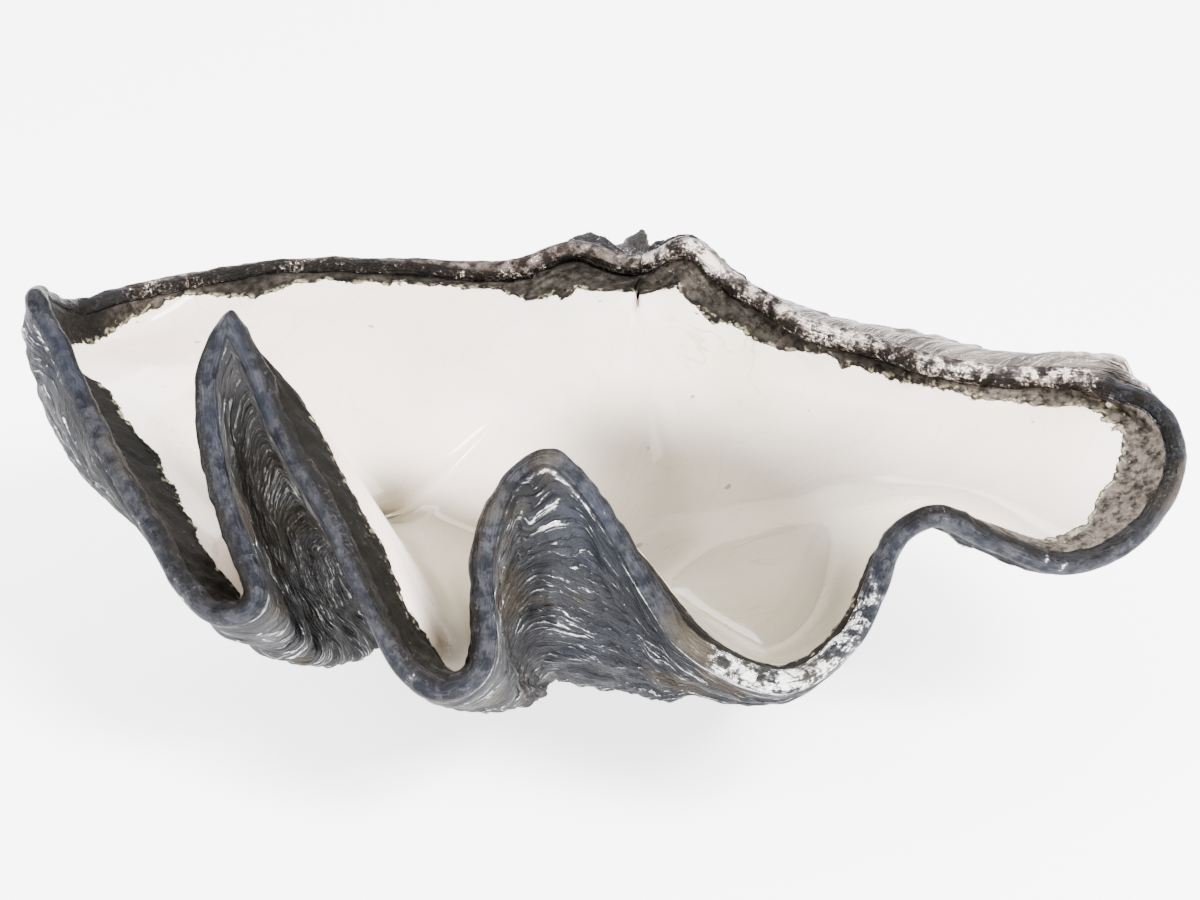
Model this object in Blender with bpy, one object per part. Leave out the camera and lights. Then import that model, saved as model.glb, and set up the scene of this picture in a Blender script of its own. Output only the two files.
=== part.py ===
"""One valve of a giant clam, hollow side up, with a plated outside and lip.

The outside is grown the way a shell grows: every older growth line is a smaller,
turned copy of the folded lip, so ribs, grooves and ledges all run in to the beak.
Lengths are in millimetres and are scaled to metres when the mesh is made.
"""
import math

import bmesh
import bpy
import numpy as np
from mathutils import Matrix, Vector
from mathutils.bvhtree import BVHTree

NAME = "giant_clam_shell"
NODE = "shell"
MM = 0.001

# Hinge side is +Y, the folded front is -Y, the hollow opens to +Z
BEAK = (-25.0, -2.0, 4.0)

# Crest of the lip from the left end round the front to the right end
# name: x, y, z, and how far the shell under it turned compared with the middle
LIP_LINE = {
    "left_end": (-308, -64, 0, 1.0),
    "left_dip": (-325, -98, 6, 1.0),
    "tooth_0": (-322, -165, 44, 1.0),
    "tooth_0_upper": (-301, -188, 26, 1.0),
    "tooth_0_side": (-268, -226, -5, 1.0),
    "tooth_0_lower": (-234, -266, -31, 1.05),
    "tooth_0_foot": (-210, -296, -48, 1.1),
    "rib_0": (-189, -312, -53, 1.25),
    "tooth_1_foot": (-169, -315, -43, 1.3),
    "tooth_1_lower": (-183, -294, -18, 1.3),
    "tooth_1_side": (-195, -278, 2, 1.3),
    "tooth_1_upper": (-205, -258, 27, 1.3),
    "tooth_1_neck": (-209, -244, 46, 1.3),
    "tooth_1": (-195, -238, 76, 1.3),
    "tooth_1_back_neck": (-180, -246, 54, 1.3),
    "tooth_1_back_upper": (-165, -266, 35, 1.3),
    "tooth_1_back_side": (-129, -306, 4, 1.3),
    "tooth_1_back_lower": (-98, -335, -36, 1.3),
    "tooth_1_back_foot": (-84, -345, -54, 1.3),
    "rib_1": (-65, -352, -61, 1.35),
    "tooth_2_foot": (-49, -345, -52, 1.35),
    "tooth_2_lower": (-48, -332, -31, 1.35),
    "tooth_2_side": (-52, -322, -10, 1.35),
    "tooth_2_upper": (-48, -314, 19, 1.35),
    "tooth_2_neck": (-38, -308, 39, 1.35),
    "tooth_2": (-18, -310, 52, 1.35),
    "tooth_2_back_neck": (-2, -308, 39, 1.35),
    "tooth_2_back_side": (17, -308, 11, 1.3),
    "tooth_2_back_lower": (35, -308, -21, 1.2),
    "tooth_2_back_foot": (55, -314, -46, 1.05),
    "rib_2": (98, -318, -59, 0.84),
    "tooth_3_foot": (126, -292, -49, 0.8),
    "tooth_3_lower": (137, -262, -34, 0.8),
    "tooth_3_side": (144, -240, -18, 0.78),
    "tooth_3": (163, -234, -7, 0.75),
    "tooth_3_back": (193, -220, -27, 0.75),
    "rib_3": (228, -212, -42, 0.75),
    "right_front": (262, -190, -34, 0.75),
    "right_end": (280, -150, -12, 0.75),
    "right_back": (268, -114, 2, 0.7),
    "right_hinge_end": (238, -99, 7, 0.6),
}

# The two hinge lines, from each end in to the beak
HINGE_LEFT = (
    (-308, -64, 0), (-270, -31, -2), (-235, -14, 0), (-165, -2, 0),
    (-130, -4, 0), (-95, -8, 1), (-62, 2, 8), (-40, -1, 5), BEAK,
)
HINGE_RIGHT = (
    (238, -99, 7), (195, -92, 0), (145, -85, 0), (108, -62, -2),
    (72, -50, 0), (40, -25, 5), (5, -8, 6), BEAK,
)

# Where the older shell stands fuller than plain growth: mm out, mm down, growth time of the peak
FULLER = {
    "left_end": (0, 8, 0.25),
    "left_dip": (26, 50, 0.30),
    "tooth_0": (38, 50, 0.30),
    "tooth_0_upper": (50, 30, 0.30),
    "tooth_0_side": (42, 10, 0.25),
    "tooth_0_lower": (22, 0, 0.25),
    "tooth_0_foot": (6, 0, 0.25),
    "rib_0": (0, 18, 0.45),
    "tooth_1": (14, 22, 0.40),
    "tooth_1_back_foot": (6, 4, 0.40),
    "rib_1": (0, -10, 0.50),
    "tooth_2_side": (24, 8, 0.35),
    "tooth_2": (40, 16, 0.35),
    "tooth_2_back_lower": (34, 16, 0.35),
    "tooth_2_back_foot": (14, 16, 0.42),
    "rib_2": (0, 36, 0.65),
    "tooth_3_foot": (0, 18, 0.50),
    "tooth_3": (0, 4, 0.45),
    "right_front": (0, 6, 0.4),
    "right_end": (8, 18, 0.45),
    "right_back": (40, 18, 0.55),
    "right_hinge_end": (60, 10, 0.6),
}

# Growth: size falls by e in one unit of growth time
GROWTH_END = 3.0
TURN_RATE = 2.0
TURN_LAG = 0.22
TURN_LAG_TIME = 0.20
TURN_TOTAL = 185.0
WIDTH_RATE = 0.62
WIDTH_CURVE_LEFT = 0.10
WIDTH_CURVE_RIGHT = 0.30
FOLD_FADE = 0.55
FOLD_FADE_TIME = 0.40
FOLD_SOFT_REACH = 110.0

# Outside the right hinge line the old growth stands out as a shelf:
# mm back, mm up, mm from the line, growth times where it starts and ends to fade
SHELF = (36.0, 28.0, 70.0, 0.6, 1.5)

# Lumps where the two valves' beaks met: middle x, half width, height
BEAK_LUMPS = ((-66.0, 30.0, 4.0), (2.0, 20.0, 17.0))

# Ledges left by pauses in growth
LEDGE_COUNT = 8
LEDGE_HEIGHT = 3.5

# Wall and lip
LIP_RADIUS = 6.0
WALL_MORE = 8.0
WALL_LEAST = 10.0
WALL_PASSES = 12

# The hollow
HOLLOW_BEAK = (-26.0, -24.0, -2.0)
HOLLOW_TURN = 50.0
HOLLOW_SLOWER = 0.66
HOLLOW_FADE = 0.98
HOLLOW_SOFT_REACH = 110.0

# How the valve rests: turned about X then Y, and the worn flats under the ribs
REST_PITCH = 3.5
REST_ROLL = 1.2
WORN_FLAT = 3.5
WORN_SNAP = 0.6

COLUMNS = 90
LIP_ROWS = 3

COLOUR = (0.78, 0.77, 0.73, 1.0)


def unit(v):
    return v / (np.linalg.norm(v, axis=-1, keepdims=True) + 1e-12)


def smoothstep(v, low, high):
    q = np.clip((v - low) / (high - low), 0.0, 1.0)
    return q * q * (3.0 - 2.0 * q)


def runs(curve):
    step = np.linalg.norm(np.diff(curve[:, :3], axis=0), axis=1)
    return np.concatenate([[0.0], np.cumsum(step)])


def spline(points, per_span):
    """Smooth open curve through every point; the first three columns are the place."""
    points = np.array(points, float)
    rows = np.vstack([2 * points[0] - points[1], points, 2 * points[-1] - points[-2]])
    out = []
    for i in range(1, len(rows) - 2):
        p0, p1, p2, p3 = rows[i - 1:i + 3]
        t0 = 0.0
        t1 = t0 + math.sqrt(np.linalg.norm((p1 - p0)[:3]))
        t2 = t1 + math.sqrt(np.linalg.norm((p2 - p1)[:3]))
        t3 = t2 + math.sqrt(np.linalg.norm((p3 - p2)[:3]))
        for t in np.linspace(t1, t2, per_span, endpoint=False):
            a1 = p0 * (t1 - t) / (t1 - t0) + p1 * (t - t0) / (t1 - t0)
            a2 = p1 * (t2 - t) / (t2 - t1) + p2 * (t - t1) / (t2 - t1)
            a3 = p2 * (t3 - t) / (t3 - t2) + p3 * (t - t2) / (t3 - t2)
            b1 = a1 * (t2 - t) / (t2 - t0) + a2 * (t - t0) / (t2 - t0)
            b2 = a2 * (t3 - t) / (t3 - t1) + a3 * (t - t1) / (t3 - t1)
            out.append(b1 * (t2 - t) / (t2 - t1) + b2 * (t - t1) / (t2 - t1))
    out.append(points[-1])
    return np.array(out)


def soften(curve, reach):
    """The curve with its folds averaged away over the reach, its ends held."""
    run = runs(curve)
    before = 2 * curve[0] - curve[:0:-1]
    after = 2 * curve[-1] - curve[-2::-1]
    rows = np.vstack([before, curve, after])
    place = np.concatenate([-run[:0:-1], run, 2 * run[-1] - run[-2::-1]])
    weight = np.exp(-((place[None, :] - run[:, None]) / reach) ** 2 / 2)
    return weight @ rows / weight.sum(1)[:, None]


def lip_columns(count):
    """Columns along the lip: place, turn, fullness (out, down, time), and the soft line."""
    names = list(LIP_LINE)
    curve = spline(list(LIP_LINE.values()), 12)
    run = runs(curve)
    mark = {name: run[12 * k] for k, name in enumerate(names)}
    at = [mark[name] for name in FULLER]
    full = [np.interp(run, at, [row[k] for row in FULLER.values()]) for k in range(3)]
    rows = np.column_stack([curve] + full)
    # half by length and half by named point, so tight folds get more columns
    index = np.arange(len(curve)) / (len(curve) - 1)
    share = 0.5 * run / run[-1] + 0.5 * index
    want = np.linspace(0.0, 1.0, count)
    soft = soften(curve, FOLD_SOFT_REACH)
    columns = np.stack([np.interp(want, share, rows[:, k]) for k in range(rows.shape[1])], 1)
    softer = np.stack([np.interp(want, share, soft[:, k]) for k in range(3)], 1)
    return columns, softer


def turned(t):
    """Angle turned after growth time t: slow at the lip, then steady, then coming to rest."""
    limit = math.radians(TURN_TOTAL)
    angle = TURN_RATE * t - TURN_LAG * (1.0 - np.exp(-t / TURN_LAG_TIME))
    angle = np.maximum(angle, 0.0)
    return limit * np.tanh((angle / limit) ** 2.2) ** (1.0 / 2.2)


def width_share(columns, t):
    side = smoothstep(columns[:, 0], -125.0, 75.0)
    curve = WIDTH_CURVE_LEFT + (WIDTH_CURVE_RIGHT - WIDTH_CURVE_LEFT) * side
    return np.exp(-(WIDTH_RATE * t + curve * t * t))


def grow(columns, soft, t, beak, phi, fade, closing):
    """Copies of the lip, scaled and turned about the beak."""
    m = columns[None, :, :3] + fade[..., None] * (soft - columns[:, :3])[None] - np.array(beak)
    size = np.exp(-t) * closing
    c, s = np.cos(phi), np.sin(phi)
    x = width_share(columns, t) * closing * m[..., 0]
    y = size * (m[..., 1] * c - m[..., 2] * s)
    z = size * (m[..., 1] * s + m[..., 2] * c)
    return np.stack([x, y, z], 2) + np.array(beak)


def outside(columns, soft, times):
    t = times[:, None]
    fade = FOLD_FADE * (1.0 - np.exp(-(t / FOLD_FADE_TIME) ** 2))
    late = 1.0 - np.exp(-(t / 0.9) ** 2)
    factor = columns[:, 3]
    phi = turned(t) * (factor + (1.0 - factor) * late)
    closing = 1.0 - smoothstep(t, GROWTH_END - 0.8, GROWTH_END)
    sheet = grow(columns, soft, t, BEAK, phi, fade, closing)
    out = np.stack([(soft[:, 0] + 30.0) / 300.0 ** 2, (soft[:, 1] + 150.0) / 170.0 ** 2], 1)
    out = unit(out)
    peak = columns[:, 6]
    bump = (t / peak) * np.exp(1.0 - t / peak) * closing
    sheet[..., 0] += columns[:, 4] * bump * out[:, 0]
    sheet[..., 1] += columns[:, 4] * bump * out[:, 1]
    sheet[..., 2] -= columns[:, 5] * bump
    run = runs(columns)
    for edge, line, away, pull in (
        (0, HINGE_LEFT, run, 70.0),
        (-1, HINGE_RIGHT, run[-1] - run, 30.0),
    ):
        trace = spline(line, 12)
        order = np.argsort(trace[:, 0])
        share = (width_share(columns, t) * closing)[:, edge]
        x = BEAK[0] + share * (line[0][0] - BEAK[0])
        y = np.interp(x, trace[order, 0], trace[order, 1])
        z = np.interp(x, trace[order, 0], trace[order, 2])
        move = np.stack([x, y, z], 1) - sheet[:, edge]
        sheet = sheet + move[:, None] * np.exp(-(away / pull) ** 1.5)[None, :, None]
    back, up, reach, fade_start, fade_end = SHELF
    away = (run[-1] - run) / reach
    shelf = away * np.exp(1.0 - away) * smoothstep(t, 0.02, 0.25) * (1.0 - smoothstep(t, fade_start, fade_end))
    sheet[..., 1] += back * shelf
    sheet[..., 2] += up * shelf
    return sheet


def raise_lumps(points):
    """Swell the hinge beside the beak; the shape below it stays."""
    near = np.exp(-((points[..., 1] - 2.0) / 30.0) ** 2) * smoothstep(points[..., 2], -45.0, 2.0)
    for middle, half, height in BEAK_LUMPS:
        points[..., 2] += height * near * np.exp(-((points[..., 0] - middle) / half) ** 2)
    return points


def hollow(columns, soft, times):
    t = times[:, None]
    fade = HOLLOW_FADE * (1.0 - np.exp(-(t / 0.22) ** 1.5))
    cap = math.radians(HOLLOW_TURN)
    share = HOLLOW_SLOWER * turned(t) * columns[:, 3] / cap
    phi = cap * share / (1.0 + share ** 3) ** (1.0 / 3.0)
    closing = 1.0 - smoothstep(t, GROWTH_END - 1.2, GROWTH_END)
    return grow(columns, soft, t, HOLLOW_BEAK, phi, fade, closing)


def inward(sheet, passes):
    """Way from the outside into the hollow at every place of the sheet."""
    n = unit(np.cross(np.gradient(sheet, axis=1), np.gradient(sheet, axis=0)))
    n[0] = n[1]
    n[-1] = n[-3]
    n[-2] = n[-3]
    n[:, 0] = n[:, 2]
    n[:, 1] = n[:, 2]
    n[:, -1] = n[:, -3]
    n[:, -2] = n[:, -3]
    for _ in range(passes):
        n[:, 1:-1] = unit(n[:, :-2] + 2 * n[:, 1:-1] + n[:, 2:])
        n[1:-1] = unit(n[:-2] + 2 * n[1:-1] + n[2:])
    return n


def edge_places(rows, columns):
    """The sheet's edge as a ring: beak, left hinge line, lip, right hinge line."""
    left = [(i, 0) for i in range(rows - 2, 0, -1)]
    front = [(0, j) for j in range(columns)]
    right = [(i, columns - 1) for i in range(1, rows - 1)]
    return [(rows - 1, 0)] + left + front + right


def ledge_times():
    """Three rows to a ledge: its foot, its edge, and a row on the slope behind it."""
    share = [0.0]
    for k in range(LEDGE_COUNT):
        base = (k + 0.55) / (LEDGE_COUNT + 0.3)
        share += [base - 0.022, base, base + 0.42 / LEDGE_COUNT]
    share.append(1.0)
    kind = ["lip"] + ["foot", "edge", "slope"] * LEDGE_COUNT + ["beak"]
    return GROWTH_END * np.array(share) ** 1.7, kind


def ring_mean(v, passes):
    for _ in range(passes):
        v = (np.roll(v, 1, 0) + 2 * v + np.roll(v, -1, 0)) / 4
    return v


def keep_wall(inner, outer, ways, held):
    """Move the hollow's surface until no wall is thinner than allowed."""
    rows, columns = outer.shape[:2]
    faces = []
    for i in range(rows - 1):
        for j in range(columns - 1):
            k = i * columns + j
            faces.append((k, k + 1, k + columns + 1, k + columns))
    points = [Vector(p) for p in outer.reshape(-1, 3)]
    tree = BVHTree.FromPolygons(points, faces)
    flat_ways = ways.reshape(-1, 3)
    for _ in range(WALL_PASSES):
        for i in range(3, rows - 1):
            for j in range(1, columns - 1):
                place, normal, face, gap = tree.find_nearest(Vector(inner[i, j]))
                way = Vector(flat_ways[faces[face][0]])
                side = (Vector(inner[i, j]) - place).dot(way)
                depth = gap if side > 0 else -gap
                if depth < WALL_LEAST:
                    inner[i, j] += np.array(way) * (WALL_LEAST - depth)
        # the ends of the outer folds can reach between the hollow's own points
        inside = BVHTree.FromPolygons([Vector(p) for p in inner.reshape(-1, 3)], faces)
        for i in range(3, 2 * rows // 3):
            for j in range(2, columns - 2):
                place, normal, face, gap = inside.find_nearest(points[i * columns + j])
                way = ways[i, j]
                side = (place - points[i * columns + j]).dot(Vector(way))
                depth = gap if side > 0 else -gap
                if depth < WALL_LEAST and gap < 3 * WALL_LEAST:
                    for corner in faces[face]:
                        row, column = divmod(corner, columns)
                        if row > 2 and not held[row, column]:
                            inner[row, column] += way * (WALL_LEAST - depth) / 3
        calm = inner.copy()
        calm[1:-1, 1:-1] = (
            4 * inner[1:-1, 1:-1] + inner[:-2, 1:-1] + inner[2:, 1:-1]
            + inner[1:-1, :-2] + inner[1:-1, 2:]
        ) / 8
        inner = np.where(held[..., None], inner, calm)
    return inner


def shape_rows():
    times, kinds = ledge_times()
    columns, soft = lip_columns(COLUMNS)
    outer = outside(columns, soft, times)
    ways = inward(outer, 2)
    ring = edge_places(len(times), COLUMNS)
    place = np.array([outer[ij] for ij in ring])
    along = unit(np.roll(place, -1, 0) - np.roll(place, 1, 0))
    way = np.array([ways[ij] for ij in ring])
    way[0] = unit(way[3] + way[-3])
    way = unit(ring_mean(way, 4))
    way = unit(way - (way * along).sum(1)[:, None] * along)
    down = np.cross(way, along)
    number = {ij: k for k, ij in enumerate(ring)}
    front = [number[(0, j)] for j in range(COLUMNS)]
    run = runs(columns)
    shift = (down - way) * LIP_RADIUS
    shift[0] = (shift[2] + shift[-2]) / 2
    moves = shift[front][None] * np.exp(-times / 0.10)[:, None, None]
    for edge, away in ((0, run), (COLUMNS - 1, run[-1] - run)):
        at = [number.get((i, edge), 0) for i in range(len(times))]
        share = np.exp(-((away / 45.0) ** 1.5))[None, :, None]
        moves = moves * (1.0 - share) + shift[at][:, None] * share
    outer = outer + moves
    outer[-1] = np.array(BEAK) + shift[0]
    plain = outer.copy()
    lift = {"edge": LEDGE_HEIGHT, "slope": 0.4 * LEDGE_HEIGHT}
    raised = np.array([lift.get(kind, 0.0) for kind in kinds])
    size = np.clip(1.3 * np.exp(-0.5 * times), 0.3, 1.0)
    rim_clear = smoothstep(run, 0.0, 80.0) * smoothstep(run[-1] - run, 0.0, 80.0)
    outer = outer - ways * (raised * size)[:, None, None] * rim_clear[None, :, None]
    thick = 2 * LIP_RADIUS + WALL_MORE * smoothstep(times, 0.0, 0.3)[:, None, None]
    wall_ways = ways.copy()
    wall_ways[0] = way[front]
    near = plain + wall_ways * thick
    deep = hollow(columns, soften(soft, HOLLOW_SOFT_REACH), times)
    share = smoothstep(times, 0.02, 0.40)[:, None, None]
    inner = near * (1.0 - share) + deep * share
    for edge, away in ((0, run), (COLUMNS - 1, run[-1] - run)):
        at = [number.get((i, edge), 0) for i in range(len(times))]
        want = outer[:, edge] + way[at] * 2 * LIP_RADIUS
        move = want - inner[:, edge]
        inner = inner + move[:, None] * np.exp(-(away / 60.0) ** 1.5)[None, :, None]
    inner[-1] = (inner[-2, 0] + inner[-2, -1]) / 2
    fixed = np.zeros(inner.shape[:2], bool)
    for ij in ring:
        fixed[ij] = True
    fixed[-1] = True
    inner = keep_wall(inner, outer, ways, fixed)
    first = np.array([outer[ij] for ij in ring])
    last = np.array([inner[ij] for ij in ring])
    middle = (first + last) / 2
    half = (last - first) / 2
    lips = []
    for k in range(1, LIP_ROWS + 1):
        angle = math.pi * k / (LIP_ROWS + 1)
        lips.append(middle - half * math.cos(angle) - down * LIP_RADIUS * math.sin(angle))
    return raise_lumps(outer), raise_lumps(inner), [raise_lumps(row) for row in lips], ring


def make_mesh(outer, inner, lips, ring):
    rows, columns = outer.shape[:2]
    bm = bmesh.new()

    def sheet_verts(sheet):
        grid = [[bm.verts.new(sheet[i, j] * MM) for j in range(columns)] for i in range(rows - 1)]
        tip = bm.verts.new(sheet[-1, 0] * MM)
        grid.append([tip] * columns)
        return grid

    def sheet_faces(grid, flip):
        for i in range(rows - 1):
            for j in range(columns - 1):
                quad = [grid[i][j], grid[i][j + 1], grid[i + 1][j + 1], grid[i + 1][j]]
                quad = list(dict.fromkeys(quad))
                bm.faces.new(quad[::-1] if flip else quad)

    out_grid = sheet_verts(outer)
    in_grid = sheet_verts(inner)
    sheet_faces(out_grid, True)
    sheet_faces(in_grid, False)
    strips = [[out_grid[i][j] for i, j in ring]]
    strips += [[bm.verts.new(p * MM) for p in row] for row in lips]
    strips.append([in_grid[i][j] for i, j in ring])
    count = len(ring)
    for low, high in zip(strips[:-1], strips[1:]):
        for k in range(count):
            n = (k + 1) % count
            bm.faces.new((low[k], low[n], high[n], high[k]))
    bmesh.ops.triangulate(bm, faces=bm.faces[:], quad_method="SHORT_EDGE")
    bmesh.ops.recalc_face_normals(bm, faces=bm.faces[:])
    return bm


def settle(bm):
    """Turn the valve to how it rests, wear its lowest ribs flat, and set it on the ground."""
    turn = Matrix.Rotation(math.radians(REST_ROLL), 4, "Y")
    turn = turn @ Matrix.Rotation(math.radians(REST_PITCH), 4, "X")
    bmesh.ops.transform(bm, matrix=turn, verts=bm.verts)
    low = min(v.co.z for v in bm.verts)
    ground = low + WORN_FLAT * MM
    for v in bm.verts:
        if abs(v.co.z - ground) < WORN_SNAP * MM:
            v.co.z = ground
    cut = bmesh.ops.bisect_plane(
        bm, geom=bm.verts[:] + bm.edges[:] + bm.faces[:], dist=1e-6,
        plane_co=(0, 0, ground), plane_no=(0, 0, 1), clear_inner=True,
    )
    edges = [e for e in cut["geom_cut"] if isinstance(e, bmesh.types.BMEdge)]
    edges = [e for e in edges if len(e.link_faces) == 1]
    bmesh.ops.holes_fill(bm, edges=edges, sides=0)
    bmesh.ops.triangulate(bm, faces=bm.faces[:])
    bmesh.ops.recalc_face_normals(bm, faces=bm.faces[:])
    xs = [v.co.x for v in bm.verts]
    ys = [v.co.y for v in bm.verts]
    centre = Vector(((min(xs) + max(xs)) / 2, (min(ys) + max(ys)) / 2, ground))
    bmesh.ops.translate(bm, vec=-centre, verts=bm.verts)


def material():
    mat = bpy.data.materials.new("shell")
    mat.use_nodes = True
    shader = mat.node_tree.nodes["Principled BSDF"]
    shader.inputs["Base Color"].default_value = COLOUR
    shader.inputs["Roughness"].default_value = 0.3
    return mat


def main():
    for obj in list(bpy.data.objects):
        bpy.data.objects.remove(obj)
    home = bpy.data.collections.new(NAME)
    bpy.context.scene.collection.children.link(home)
    bm = make_mesh(*shape_rows())
    settle(bm)
    mesh = bpy.data.meshes.new(NODE)
    bm.to_mesh(mesh)
    bm.free()
    obj = bpy.data.objects.new(NODE, mesh)
    mesh.materials.append(material())
    home.objects.link(obj)


main()
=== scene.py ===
"""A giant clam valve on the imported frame: white porcelain hollow, silver-plated outside and lip.

The shape is grown with the same laws and values as the frame's solid, on a finer grid. It then
gets its growth lamellae, the inside wedges behind two teeth, the rolled lip and the materials.
Lengths are in millimetres until a mesh is made.
"""

import math

import bpy
import numpy as np
from mathutils import Matrix, Vector
from mathutils.bvhtree import BVHTree
from mathutils.kdtree import KDTree


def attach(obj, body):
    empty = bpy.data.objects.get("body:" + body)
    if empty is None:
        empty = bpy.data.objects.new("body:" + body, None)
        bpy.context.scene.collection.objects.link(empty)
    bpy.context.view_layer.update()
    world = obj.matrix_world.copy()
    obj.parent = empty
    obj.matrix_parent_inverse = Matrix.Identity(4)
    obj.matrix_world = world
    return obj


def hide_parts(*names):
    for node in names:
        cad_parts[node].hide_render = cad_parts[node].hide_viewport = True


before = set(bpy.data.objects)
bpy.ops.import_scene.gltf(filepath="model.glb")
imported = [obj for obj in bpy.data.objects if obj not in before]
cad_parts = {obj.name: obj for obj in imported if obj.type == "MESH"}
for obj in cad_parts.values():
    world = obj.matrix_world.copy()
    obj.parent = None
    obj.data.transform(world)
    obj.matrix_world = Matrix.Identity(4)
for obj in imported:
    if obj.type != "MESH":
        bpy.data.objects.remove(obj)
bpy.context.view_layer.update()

MM = 0.001

# Hinge side is +Y, the folded front is -Y, the hollow opens to +Z
BEAK = (-25.0, -2.0, 4.0)

# Crest of the lip from the left end round the front to the right end
# name: x, y, z, and how far the shell under it turned compared with the middle
LIP_LINE = {
    "left_end": (-308, -64, 0, 1.0),
    "left_dip": (-325, -98, 6, 1.0),
    "tooth_0": (-322, -165, 44, 1.0),
    "tooth_0_upper": (-301, -188, 26, 1.0),
    "tooth_0_side": (-268, -226, -5, 1.0),
    "tooth_0_lower": (-234, -266, -31, 1.05),
    "tooth_0_foot": (-210, -296, -48, 1.1),
    "rib_0": (-189, -312, -53, 1.25),
    "tooth_1_foot": (-169, -315, -43, 1.3),
    "tooth_1_lower": (-183, -294, -18, 1.3),
    "tooth_1_side": (-195, -278, 2, 1.3),
    "tooth_1_upper": (-205, -258, 27, 1.3),
    "tooth_1_neck": (-209, -244, 46, 1.3),
    "tooth_1": (-195, -238, 76, 1.3),
    "tooth_1_back_neck": (-180, -246, 54, 1.3),
    "tooth_1_back_upper": (-165, -266, 35, 1.3),
    "tooth_1_back_side": (-129, -306, 4, 1.3),
    "tooth_1_back_lower": (-98, -335, -36, 1.3),
    "tooth_1_back_foot": (-84, -345, -54, 1.3),
    "rib_1": (-65, -352, -61, 1.35),
    "tooth_2_foot": (-49, -345, -52, 1.35),
    "tooth_2_lower": (-48, -332, -31, 1.35),
    "tooth_2_side": (-52, -322, -10, 1.35),
    "tooth_2_upper": (-48, -314, 19, 1.35),
    "tooth_2_neck": (-38, -308, 39, 1.35),
    "tooth_2": (-18, -310, 52, 1.35),
    "tooth_2_back_neck": (-2, -308, 39, 1.35),
    "tooth_2_back_side": (17, -308, 11, 1.3),
    "tooth_2_back_lower": (35, -308, -21, 1.2),
    "tooth_2_back_foot": (55, -314, -46, 1.05),
    "rib_2": (98, -318, -59, 0.84),
    "tooth_3_foot": (126, -292, -49, 0.8),
    "tooth_3_lower": (137, -262, -34, 0.8),
    "tooth_3_side": (144, -240, -18, 0.78),
    "tooth_3": (163, -234, -7, 0.75),
    "tooth_3_back": (193, -220, -27, 0.75),
    "rib_3": (228, -212, -42, 0.75),
    "right_front": (262, -190, -34, 0.75),
    "right_end": (280, -150, -12, 0.75),
    "right_back": (268, -114, 2, 0.7),
    "right_hinge_end": (238, -99, 7, 0.6),
}

# The two hinge lines, from each end in to the beak
HINGE_LEFT = (
    (-308, -64, 0), (-270, -31, -2), (-235, -14, 0), (-165, -2, 0),
    (-130, -4, 0), (-95, -8, 1), (-62, 2, 8), (-40, -1, 5), BEAK,
)
HINGE_RIGHT = (
    (238, -99, 7), (195, -92, 0), (145, -85, 0), (108, -62, -2),
    (72, -50, 0), (40, -25, 5), (5, -8, 6), BEAK,
)

# Where the older shell stands fuller than plain growth: mm out, mm down, growth time of the peak
FULLER = {
    "left_end": (0, 8, 0.25),
    "left_dip": (26, 50, 0.30),
    "tooth_0": (38, 50, 0.30),
    "tooth_0_upper": (50, 30, 0.30),
    "tooth_0_side": (42, 10, 0.25),
    "tooth_0_lower": (22, 0, 0.25),
    "tooth_0_foot": (6, 0, 0.25),
    "rib_0": (0, 18, 0.45),
    "tooth_1": (14, 22, 0.40),
    "tooth_1_back_foot": (6, 4, 0.40),
    "rib_1": (0, -10, 0.50),
    "tooth_2_side": (24, 8, 0.35),
    "tooth_2": (40, 16, 0.35),
    "tooth_2_back_lower": (34, 16, 0.35),
    "tooth_2_back_foot": (14, 16, 0.42),
    "rib_2": (0, 36, 0.65),
    "tooth_3_foot": (0, 18, 0.50),
    "tooth_3": (0, 4, 0.45),
    "right_front": (0, 6, 0.4),
    "right_end": (8, 18, 0.45),
    "right_back": (40, 18, 0.55),
    "right_hinge_end": (60, 10, 0.6),
}

# Growth: size falls by e in one unit of growth time
GROWTH_END = 3.0
TURN_RATE = 2.0
TURN_LAG = 0.22
TURN_LAG_TIME = 0.20
TURN_TOTAL = 185.0
WIDTH_RATE = 0.62
WIDTH_CURVE_LEFT = 0.10
WIDTH_CURVE_RIGHT = 0.30
FOLD_FADE = 0.55
FOLD_FADE_TIME = 0.40
FOLD_SOFT_REACH = 110.0

# Outside the right hinge line the old growth stands out as a shelf:
# mm back, mm up, mm from the line, growth times where it starts and ends to fade
SHELF = (36.0, 28.0, 70.0, 0.6, 1.5)

# Lumps where the two valves' beaks met: middle x, half width, height
BEAK_LUMPS = ((-66.0, 30.0, 4.0), (2.0, 20.0, 17.0))

# Wall and lip
LIP_RADIUS = 6.0
WALL_MORE = 8.0
WALL_LEAST = 10.0
WALL_PASSES = 12

# The hollow
HOLLOW_BEAK = (-26.0, -24.0, -2.0)
HOLLOW_TURN = 50.0
HOLLOW_SLOWER = 0.66
HOLLOW_FADE = 0.98
HOLLOW_SOFT_REACH = 110.0

# How the valve rests: turned about X then Y, in degrees
REST_PITCH = 3.5
REST_ROLL = 1.2

# Where the valve's own origin stands in the frame, in millimetres
PLACE = (28.00, 136.61, 182.20)

# Viewing place, in the valve's own axes
VIEW_AZIMUTH = 10.0
VIEW_ELEVATION = 28.0
VIEW_DISTANCE = 1800.0
VIEW_TARGET = (-39.5, -52.7, -84.8)
VIEW_WIDTH = 678.0

# Points to a span of a curve through named points
SPAN = 12

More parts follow.
